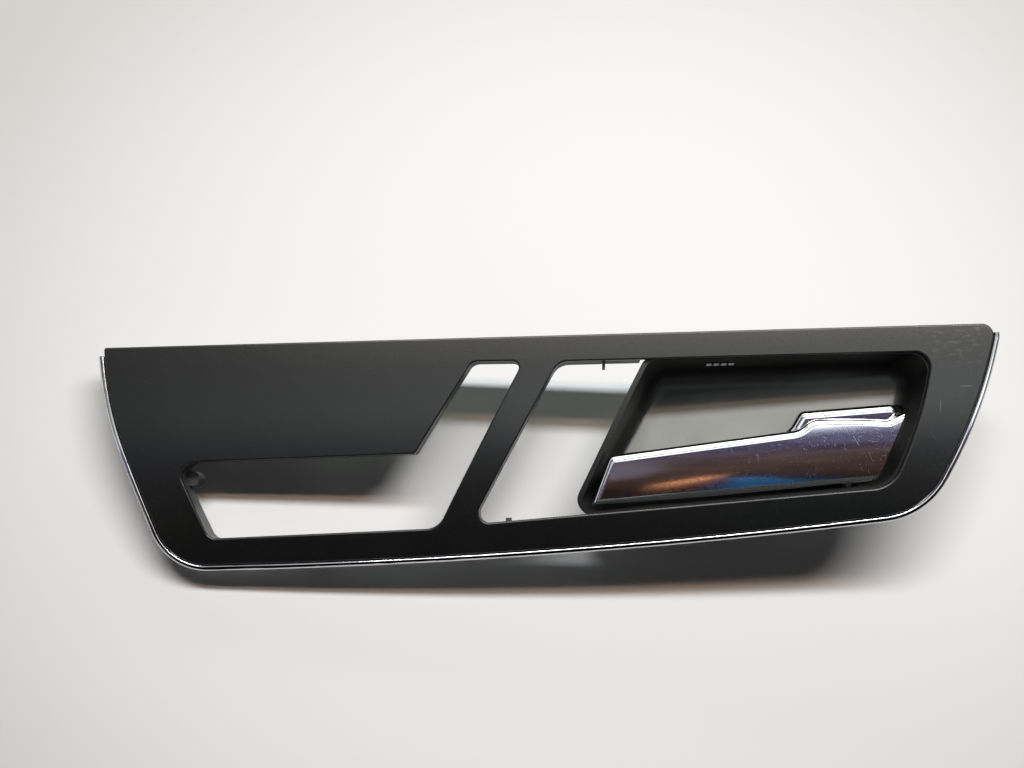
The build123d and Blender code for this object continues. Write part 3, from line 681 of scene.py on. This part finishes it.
class HANDLE_OT_hinge(bpy.types.Operator):
    """Finishes the pin, the spring and the rest buffer"""

    bl_idname = "handle.hinge"
    bl_label = "Hinge"

    def execute(self, context):
        dress("pivot_pin", drawn_steel("zinc_plated_pin", "#B4B4AE", 0.3, (2500, 2500, 250)))
        # A welded, smoothly shaded copy of the spring takes the place of the imported one. In the
        # real part the spring's low end stays in the bowl and its high end turns with the lever.
        source = NODES["return_spring"]
        wire = bmesh.new()
        wire.from_mesh(source.data)
        bmesh.ops.remove_doubles(wire, verts=wire.verts, dist=WELD)
        data = bpy.data.meshes.new("wound_spring")
        wire.to_mesh(data)
        wire.free()
        data.polygons.foreach_set("use_smooth", [True] * len(data.polygons))
        data.set_sharp_from_angle(angle=SPRING_CREASE)
        data.materials.clear()
        data.materials.append(drawn_steel("spring_wire", "#8C8C8C", 0.34, (2500, 2500, 600)))
        spring = bpy.data.objects.new("wound_spring", data)
        context.scene.collection.objects.link(spring)
        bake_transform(spring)
        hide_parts("return_spring")
        # Moulded nitrile rubber: black and dull, with a faint bloom.
        made, tree, shader, place = finish("nitrile_rubber", {"IOR": 1.52})
        bloom = add(
            tree, "ShaderNodeTexNoise", {"Vector": place, "Scale": 1 / (1.5 * MM), "Detail": 3.0}
        )
        share = add(tree, "ShaderNodeMapRange", {VALUE: bloom, FROM_MIN: 0.4, FROM_MAX: 0.8})
        base = add(
            tree,
            "ShaderNodeMix",
            {SHARE: share, COLOUR_A: linear("#1B1B1B"), COLOUR_B: linear("#333332")},
            data_type="RGBA",
        )
        rough = add(
            tree,
            "ShaderNodeMapRange",
            {VALUE: bloom, FROM_MIN: 0.3, FROM_MAX: 0.7, TO_MIN: 0.65, TO_MAX: 0.8},
        )
        feed(tree, shader, {"Base Color": base, "Roughness": rough})
        dress("rest_buffer", made)
        return {"FINISHED"}


def tapping_screw(name, head_r, head_h, shank_r, length, pitch, recess):
    """One pan-head tapping screw with a six-lobed recess.

    Its head's underside is at z = 0 and its thread runs along -z.
    """
    sides, turns = SCREW_SIDES, length / pitch
    lobes = [1 + LOBE_DEPTH * math.cos(LOBES * math.tau * i / sides) for i in range(sides)]
    hole = recess * head_r
    round_ring = [1.0] * sides
    rings = [
        (hole * 0.9, head_h * 0.35, lobes),
        (hole, head_h * 0.95, lobes),
        (hole * 1.12, head_h, lobes),
        (head_r * 0.72, head_h, round_ring),
        (head_r * 0.92, head_h * 0.82, round_ring),
        (head_r, head_h * 0.45, round_ring),
        (head_r, 0.0, round_ring),
        (shank_r, 0.0, round_ring),
    ]
    steps = int(turns * STEPS_PER_TURN)
    for k in range(1, steps + 1):
        drop = k / steps
        taper = 1.0 - POINT_TAPER * max(0.0, (drop - POINT_START) / (1 - POINT_START))
        ridges = [abs((drop * turns + i / sides) % 1.0 - 0.5) for i in range(sides)]
        wave = [
            (THREAD_ROOT + (1 - THREAD_ROOT) * max(0.0, 1 - ridge * 4)) * taper for ridge in ridges
        ]
        rings.append((shank_r, -drop * length, wave))
    turn = [math.tau * i / sides for i in range(sides)]
    circle = [(math.cos(angle), math.sin(angle)) for angle in turn]
    mesh = bmesh.new()
    loops = [
        [
            mesh.verts.new((radius * k * x, radius * k * y, height))
            for k, (x, y) in zip(shape, circle)
        ]
        for radius, height, shape in rings
    ]
    for upper, lower in zip(loops, loops[1:]):
        for i in range(sides):
            j = (i + 1) % sides
            mesh.faces.new((upper[i], lower[i], lower[j], upper[j]))
    mesh.faces.new(loops[0])
    mesh.faces.new(list(reversed(loops[-1])))
    bmesh.ops.recalc_face_normals(mesh, faces=mesh.faces)
    data = bpy.data.meshes.new(name)
    mesh.to_mesh(data)
    mesh.free()
    return data


def set_screws(name, screw, places, into, made):
    """Screws of one kind set at these places by a node tree, as one plain mesh.

    Their points look along `into`.
    """
    source = bpy.data.objects.new(name + "_one", screw)
    points = bpy.data.meshes.new(name + "_places")
    points.from_pydata([tuple(p) for p in places], [], [])
    piece = bpy.data.objects.new(name, points)
    for item in (source, piece):
        bpy.context.scene.collection.objects.link(item)
    tree = bpy.data.node_groups.new(name + "_set", "GeometryNodeTree")
    tree.interface.new_socket("Geometry", in_out="INPUT", socket_type="NodeSocketGeometry")
    sizes = tree.interface.new_socket("Size", in_out="INPUT", socket_type="NodeSocketFloat")
    tree.interface.new_socket("Geometry", in_out="OUTPUT", socket_type="NodeSocketGeometry")
    way_in = add(tree, "NodeGroupInput")
    one = add(tree, "GeometryNodeObjectInfo", {"Object": source}).outputs["Geometry"]
    turned = Vector((0, 0, -1)).rotation_difference(Vector(into)).to_euler()
    spots = add(
        tree,
        "GeometryNodeInstanceOnPoints",
        {"Points": way_in, "Instance": one, "Scale": way_in.outputs["Size"], "Rotation": turned},
    )
    real = add(tree, "GeometryNodeRealizeInstances", {"Geometry": spots})
    coated = add(tree, "GeometryNodeSetMaterial", {"Geometry": real, "Material": made})
    add(tree, "NodeGroupOutput", {0: coated}, is_active_output=True)
    maker = piece.modifiers.new("screws", "NODES")
    maker.node_group = tree
    maker[sizes.identifier] = 1.0
    shown = piece.evaluated_get(bpy.context.evaluated_depsgraph_get())
    result = bpy.data.meshes.new_from_object(shown)
    piece.modifiers.remove(maker)
    piece.data = result
    bpy.data.objects.remove(source)
    result.polygons.foreach_set("use_smooth", [True] * len(result.polygons))
    result.set_sharp_from_angle(angle=SCREW_CREASE)
    return piece


def solid_centres(node, axis):
    """Centre of each loose solid of a node, with its lowest and highest value along one axis."""
    copied = bmesh.new()
    copied.from_mesh(NODES[node].data)
    bmesh.ops.remove_doubles(copied, verts=copied.verts, dist=WELD)
    found, waiting = [], set(copied.verts)
    while waiting:
        group, open_ends = [], [waiting.pop()]
        while open_ends:
            vert = open_ends.pop()
            group.append(vert.co.copy())
            for edge in vert.link_edges:
                other = edge.other_vert(vert)
                if other in waiting:
                    waiting.remove(other)
                    open_ends.append(other)
        low = Vector([min(p[i] for p in group) for i in range(3)])
        high = Vector([max(p[i] for p in group) for i in range(3)])
        found.append(((low + high) / 2, low[axis], high[axis]))
    copied.free()
    return sorted(found, key=lambda item: tuple(item[0]))


class HANDLE_OT_fasteners(bpy.types.Operator):
    """Makes the screws and finishes the door clips"""

    bl_idname = "handle.fasteners"
    bl_label = "Screws and clips"

    def execute(self, context):
        props = context.scene.handle_screw
        zinc = drawn_steel("zinc_plated_screw", "#B9B8AE", 0.32, (900, 900, 900))
        for node, body, head_r, head_h, shank_r, pitch in (
            ("bowl_screws", "blade", 3.4, 2.2, 1.7, props.pitch),
            ("cover_screws", "lever", 2.2, 1.4, 1.0, props.pitch * SMALL_PITCH),
        ):
            solids = solid_centres(node, 1)
            for deep in sorted({round((high - low) / MM, 2) for _, low, high in solids}):
                like = [s for s in solids if abs((s[2] - s[1]) / MM - deep) < SAME]
                shank = deep - head_h
                one = tapping_screw(
                    f"{node}_{deep:.0f}",
                    head_r * MM,
                    head_h * MM,
                    shank_r * MM,
                    shank * MM,
                    pitch,
                    props.recess,
                )
                places = [(mid.x, high - head_h * MM, mid.z) for mid, _, high in like]
                piece = set_screws(f"{node}_{deep:.0f}_set", one, places, (0, -1, 0), zinc)
                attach(piece, body)
                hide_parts(node)
        dress(
            "door_clips", drawn_steel("phosphated_spring_steel", "#5A5B5E", 0.42, (300, 2500, 2500))
        )
        return {"FINISHED"}


def lamp(name, at, aim, size, power, colour):
    """Long rectangular lamp at a place, turned to a point, its length along X."""
    data = bpy.data.lights.new(name, "AREA")
    data.shape = "RECTANGLE"
    data.size, data.size_y = size
    data.energy = power
    data.color = colour
    made = bpy.data.objects.new(name, data)
    bpy.context.scene.collection.objects.link(made)
    back = (Vector(at) - Vector(aim)).normalized()
    up = back.cross(Vector((1, 0, 0))).normalized()
    right = up.cross(back)
    made.matrix_world = Matrix.Translation(at) @ Matrix((right, up, back)).transposed().to_4x4()


def staged(name, verts, faces, made):
    """Plain mesh of the stage."""
    data = bpy.data.meshes.new(name)
    data.from_pydata(verts, [], faces)
    data.materials.append(made)
    piece = bpy.data.objects.new(name, data)
    bpy.context.scene.collection.objects.link(piece)
    return piece


def pale_paint(name, colour, shade):
    """Matt pale paint, seen only from its front, so that the part shows from behind as well."""
    made, tree, shader, place = finish(name, {"Roughness": 0.9, "Specular IOR Level": 0.2})
    # Painted shade: the sheet's colour darkens and warms a little towards its edges, over the width
    # of the part, standing in for light that falls off there.
    to_middle, stretch, reach = (-0.03, 0.0, 0.015), (0.85, 0, 1), 0.11
    shade_tint = (0.67, 0.655, 0.64)
    middle = add(tree, "ShaderNodeVectorMath", {0: place, 1: to_middle}, operation="ADD")
    middle = add(tree, "ShaderNodeVectorMath", {0: middle, 1: stretch}, operation="MULTIPLY")
    away = add(tree, "ShaderNodeVectorMath", {0: middle, 1: middle}, operation="DOT_PRODUCT")
    away = away.outputs["Value"]
    painted_shade = add(
        tree,
        "ShaderNodeMapRange",
        {VALUE: away, FROM_MAX: reach, TO_MAX: shade},
        interpolation_type="SMOOTHSTEP",
    )
    edge = tuple(c * k for c, k in zip(colour, shade_tint))
    base = add(
        tree,
        "ShaderNodeMix",
        {SHARE: painted_shade, COLOUR_A: tuple(colour), COLOUR_B: edge},
        data_type="RGBA",
    )
    feed(tree, shader, {"Base Color": base})
    rays = add(tree, "ShaderNodeLightPath").outputs
    behind = add(tree, "ShaderNodeNewGeometry").outputs["Backfacing"]
    unseen = add(tree, "ShaderNodeMath", {0: behind, 1: rays["Is Shadow Ray"]}, operation="MAXIMUM")
    clear = add(tree, "ShaderNodeBsdfTransparent")
    mixed = add(tree, "ShaderNodeMixShader", {0: unseen, 1: shader, 2: clear})
    feed(tree, tree.nodes["Material Output"], {"Surface": mixed})
    return made


def pale_world(scene):
    """World: pale where it is looked at, faint as a light, so that the shadows stay deep."""
    as_light, as_seen = 0.02, 0.9
    world = bpy.data.worlds.new("pale_room")
    scene.world = world
    world.use_nodes = True
    tree = world.node_tree
    tree.nodes.clear()
    rays = add(tree, "ShaderNodeLightPath").outputs
    looked = rays["Is Camera Ray"]
    for kind in ("Is Glossy Ray", "Is Transmission Ray"):
        looked = add(tree, "ShaderNodeMath", {0: looked, 1: rays[kind]}, operation="MAXIMUM")
    strength = add(tree, "ShaderNodeMapRange", {VALUE: looked, TO_MIN: as_light, TO_MAX: as_seen})
    sky = add(tree, "ShaderNodeBackground", {"Color": linear("#F6F7F8"), "Strength": strength})
    add(tree, "ShaderNodeOutputWorld", {"Surface": sky})


def room_light():
    """Light of the room in front of the part, on a UV map of azimuth and elevation in degrees.

    There is a bright window band, and below it a violet edge, a brown cloth with a warm and a blue
    fold, and the dark.
    """
    room = bpy.data.materials.new("room_in_front")
    room.use_nodes = True
    tree = room.node_tree
    tree.nodes.clear()
    spot = add(tree, "ShaderNodeTexCoord").outputs["UV"]
    axes = add(tree, "ShaderNodeSeparateXYZ", {"Vector": spot}).outputs
    level = add(tree, "ShaderNodeMapRange", {VALUE: axes["Y"], FROM_MIN: ROOM_DARK, FROM_MAX: 0.0})
    bands = add(tree, "ShaderNodeValToRGB", {"Fac": level})
    stops = bands.color_ramp.elements
    for rise, code in (
        (-31, "#07070A"),
        (-27, "#11131C"),
        (-24, "#231D1B"),
        (-20, "#45342B"),
        (-16, "#58463F"),
        (-12.5, "#5A4C52"),
        (-10, "#575170"),
        (-6.5, "#737090"),
        (-4.8, "#9796B0"),
        (-3.8, "#E6E8EC"),
    ):
        stops.new((rise - ROOM_DARK) / -ROOM_DARK).color = (*linear(code), 1.0)
    stops[0].color = (*linear("#050506"), 1.0)
    stops[-1].color = (*linear("#EDF4F1"), 1.0)
    colour = bands.outputs["Color"]
    for centre, reach, lean, code in (
        ((-2.0, -15.0), (6.0, 5.0), 0.0, "#756C78"),
        ((5.6, -21.6), (4.6, 1.1), 0.36, "#E39A70"),
        ((14.0, -24.0), (7.6, 2.3), -0.05, "#1F4E80"),
        ((13.0, -22.3), (5.4, 0.6), -0.2, "#3F82B8"),
        ((14.5, -24.6), (6.0, 0.45), -0.02, "#3C7CB4"),
    ):
        along = add(tree, "ShaderNodeMath", {0: axes["X"], 1: centre[0]}, operation="SUBTRACT")
        line = add(
            tree, "ShaderNodeMath", {0: along, 1: lean, 2: centre[1]}, operation="MULTIPLY_ADD"
        )
        across = add(tree, "ShaderNodeMath", {0: axes["Y"], 1: line}, operation="SUBTRACT")
        along = add(tree, "ShaderNodeMath", {0: along, 1: reach[0]}, operation="DIVIDE")
        across = add(tree, "ShaderNodeMath", {0: across, 1: reach[1]}, operation="DIVIDE")
        round_it = add(tree, "ShaderNodeCombineXYZ", {0: along, 1: across})
        away = add(tree, "ShaderNodeVectorMath", {0: round_it}, operation="LENGTH")
        share = add(
            tree,
            "ShaderNodeMapRange",
            {VALUE: away, FROM_MIN: 0.55, FROM_MAX: 1.0, TO_MIN: 1.0, TO_MAX: 0.0},
        )
        colour = add(
            tree,
            "ShaderNodeMix",
            {SHARE: share, COLOUR_A: colour, COLOUR_B: linear(code)},
            data_type="RGBA",
        )
    # Folds of the cloth, broad along and narrow across.
    fold_place = add(tree, "ShaderNodeMapping", {"Vector": spot, "Scale": (0.1, 0.45, 1.0)})
    folds = add(
        tree,
        "ShaderNodeTexNoise",
        {"Vector": fold_place, "Scale": 1.4, "Detail": 5.0, "Distortion": 0.8},
    )
    shade = add(
        tree,
        "ShaderNodeMapRange",
        {VALUE: folds, FROM_MIN: 0.3, FROM_MAX: 0.7, TO_MIN: 0.4, TO_MAX: 1.6},
    )
    left = add(
        tree,
        "ShaderNodeMapRange",
        {VALUE: axes["X"], FROM_MIN: -58.0, FROM_MAX: 8.0, TO_MIN: 0.08, TO_MAX: 2.4},
    )
    right = add(
        tree,
        "ShaderNodeMapRange",
        {VALUE: axes["X"], FROM_MIN: 32.0, FROM_MAX: 54.0, TO_MIN: 1.0, TO_MAX: 0.05},
    )
    above = add(
        tree,
        "ShaderNodeMapRange",
        {VALUE: axes["Y"], FROM_MIN: 4.0, FROM_MAX: 20.0, TO_MIN: 1.0, TO_MAX: 0.22},
    )
    window = add(tree, "ShaderNodeMath", {0: left, 1: right}, operation="MULTIPLY")
    window = add(tree, "ShaderNodeMath", {0: window, 1: above}, operation="MULTIPLY")
    lit = add(tree, "ShaderNodeMapRange", {VALUE: axes["Y"], FROM_MIN: -6.0, FROM_MAX: -3.6})
    power = add(tree, "ShaderNodeMix", {SHARE: lit, PLAIN_A: shade, PLAIN_B: window})
    glow = add(tree, "ShaderNodeEmission", {"Color": colour, "Strength": power})
    add(tree, "ShaderNodeOutputMaterial", {"Surface": glow})
    return room


def room_in_front():
    """Shell in front of the part, met only by reflections."""
    columns, levels = ROOM_COLUMNS, ROOM_LEVELS
    verts, faces, spots = [], [], []
    for j in range(levels + 1):
        for i in range(columns + 1):
            turn = ROOM_LEFT + ROOM_SWEEP * i / columns
            rise = ROOM_BOTTOM + ROOM_RISE * j / levels
            spots.append((turn, rise))
            turn, rise = math.radians(turn), math.radians(rise)
            reach = min(ROOM_RADIUS, ROOM_FLOOR / max(0.01, -math.sin(rise)))
            flat = math.cos(rise) * reach
            across, ahead = math.sin(turn), math.cos(turn)
            verts.append((ROOM_X + flat * across, -flat * ahead, reach * math.sin(rise)))
    for j in range(levels):
        for i in range(columns):
            a = j * (columns + 1) + i
            faces.append((a, a + 1, a + columns + 2, a + columns + 1))
    shell = staged("room_in_front", verts, faces, room_light())
    chart = shell.data.uv_layers.new(name="chart")
    for loop in shell.data.loops:
        chart.data[loop.index].uv = spots[loop.vertex_index]
    shell.visible_camera = False
    shell.visible_diffuse = False
    shell.visible_shadow = False
    shell.visible_transmission = False


def photo_camera(scene, props):
    """Camera at the photo's place, turned and rolled as it was."""
    turn, rise, roll = [math.radians(angle) for angle in props.turn]
    level = math.cos(rise)
    back = Vector((math.sin(turn) * level, -math.cos(turn) * level, math.sin(rise)))
    right = (-back).cross(Vector((0, 0, 1))).normalized()
    up = right.cross(-back)
    rolled_right = right * math.cos(roll) - up * math.sin(roll)
    rolled_up = right * math.sin(roll) + up * math.cos(roll)
    data = bpy.data.cameras.new("photo_camera")
    data.sensor_width = SENSOR_WIDTH
    data.lens = props.focal
    data.clip_start = NEAREST
    eye = bpy.data.objects.new("photo_camera", data)
    scene.collection.objects.link(eye)
    turned = Matrix((rolled_right, rolled_up, back)).transposed().to_4x4()
    eye.matrix_world = Matrix.Translation(Vector(props.eye)) @ turned
    scene.camera = eye


class HANDLE_OT_stage(bpy.types.Operator):
    """Sets the surface behind the part, the floor, the lamps, the room and the camera"""

    bl_idname = "handle.stage"
    bl_label = "Stage"

    def execute(self, context):
        props = context.scene.handle_stage
        scene = context.scene
        scene.view_settings.view_transform = "Standard"

        # Board that the part's left end rests on, and a floor that meets it in a curve below.
        slope = math.tan(props.tilt)
        curve = [(0.0, BEND_TOP)]
        for step in range(1, BEND_STEPS + 1):
            angle = step / BEND_STEPS * math.pi / 2
            out, down = 1 - math.cos(angle), math.sin(angle)
            curve.append((-BEND_RADIUS * out, BEND_TOP - BEND_RADIUS * down))
        # The last value is how strongly painted shade darkens each sheet towards its edges.
        for name, rows, colour, shade in (
            ("board", [(0.0, BOARD_TOP), (0.0, BEND_TOP)], props.wall, 1.0),
            ("floor", [*curve, (FLOOR_END, BEND_TOP - BEND_RADIUS)], props.floor, 0.1),
        ):
            ends = (-SHEET_HALF, SHEET_HALF)
            verts = [(x, y + (x - REST_X) * slope, z) for y, z in rows for x in ends]
            faces = [(2 * i, 2 * i + 2, 2 * i + 3, 2 * i + 1) for i in range(len(rows) - 1)]
            sheet = staged(name, verts, faces, pale_paint("painted_" + name, colour, shade))
            sheet.data.polygons.foreach_set("use_smooth", [True] * len(faces))
            # The floor doesn't light the board, so that the shadow behind the part stays deep.
            sheet.visible_diffuse = name == "board"

        # Two long lamps above and to the right, one cool and one warm, one overhead, and one behind
        # for the part's back.
        aim = (0.02, 0.0, 0.0)
        lamp("long_cool_lamp", (0.70, -1.97, 1.50), aim, (2.9, 0.22), props.key, linear("#F8FCFF"))
        lamp("long_warm_lamp", (0.70, -2.10, 1.30), aim, (2.9, 0.12), props.warm, linear("#FFD9BC"))
        lamp("ceiling_lamp", (0.1, -0.42, 1.3), aim, (1.4, 0.3), props.ceiling, linear("#F4FFF2"))
        lamp("back_lamp", (0.1, 0.9, 0.5), aim, (0.9, 0.6), props.back, linear("#FFFFFF"))

        pale_world(scene)
        room_in_front()
        photo_camera(scene, props)
        return {"FINISHED"}


class HANDLE_PT_sidebar(bpy.types.Panel):
    """Lists the handle's steps and their sizes"""

    bl_idname = "HANDLE_PT_sidebar"
    bl_label = "Door handle"
    bl_space_type = "VIEW_3D"
    bl_region_type = "UI"
    bl_category = "Door handle"

    def draw(self, context):
        for group in GROUPS:
            props = getattr(context.scene, group)
            column = self.layout.column(align=True)
            for name in props.__annotations__:
                column.prop(props, name)
        for step in STEPS:
            self.layout.operator(step.bl_idname)


GROUPS = {
    "handle_facing": FacingProps,
    "handle_chrome": ChromeProps,
    "handle_plastic": PlasticProps,
    "handle_screw": ScrewProps,
    "handle_stage": StageProps,
}
STEPS = (
    HANDLE_OT_facing,
    HANDLE_OT_carrier,
    HANDLE_OT_strip,
    HANDLE_OT_bowl,
    HANDLE_OT_lever,
    HANDLE_OT_hinge,
    HANDLE_OT_fasteners,
    HANDLE_OT_stage,
)


def register():
    for made in (*GROUPS.values(), *STEPS, HANDLE_PT_sidebar):
        bpy.utils.register_class(made)
    for name, group in GROUPS.items():
        setattr(bpy.types.Scene, name, bpy.props.PointerProperty(type=group))


def unregister():
    for name in GROUPS:
        delattr(bpy.types.Scene, name)
    for made in reversed((*GROUPS.values(), *STEPS, HANDLE_PT_sidebar)):
        bpy.utils.unregister_class(made)


def main():
    register()
    for step in STEPS:
        group, name = step.bl_idname.split(".")
        getattr(getattr(bpy.ops, group), name)()


if __name__ == "__main__":
    main()
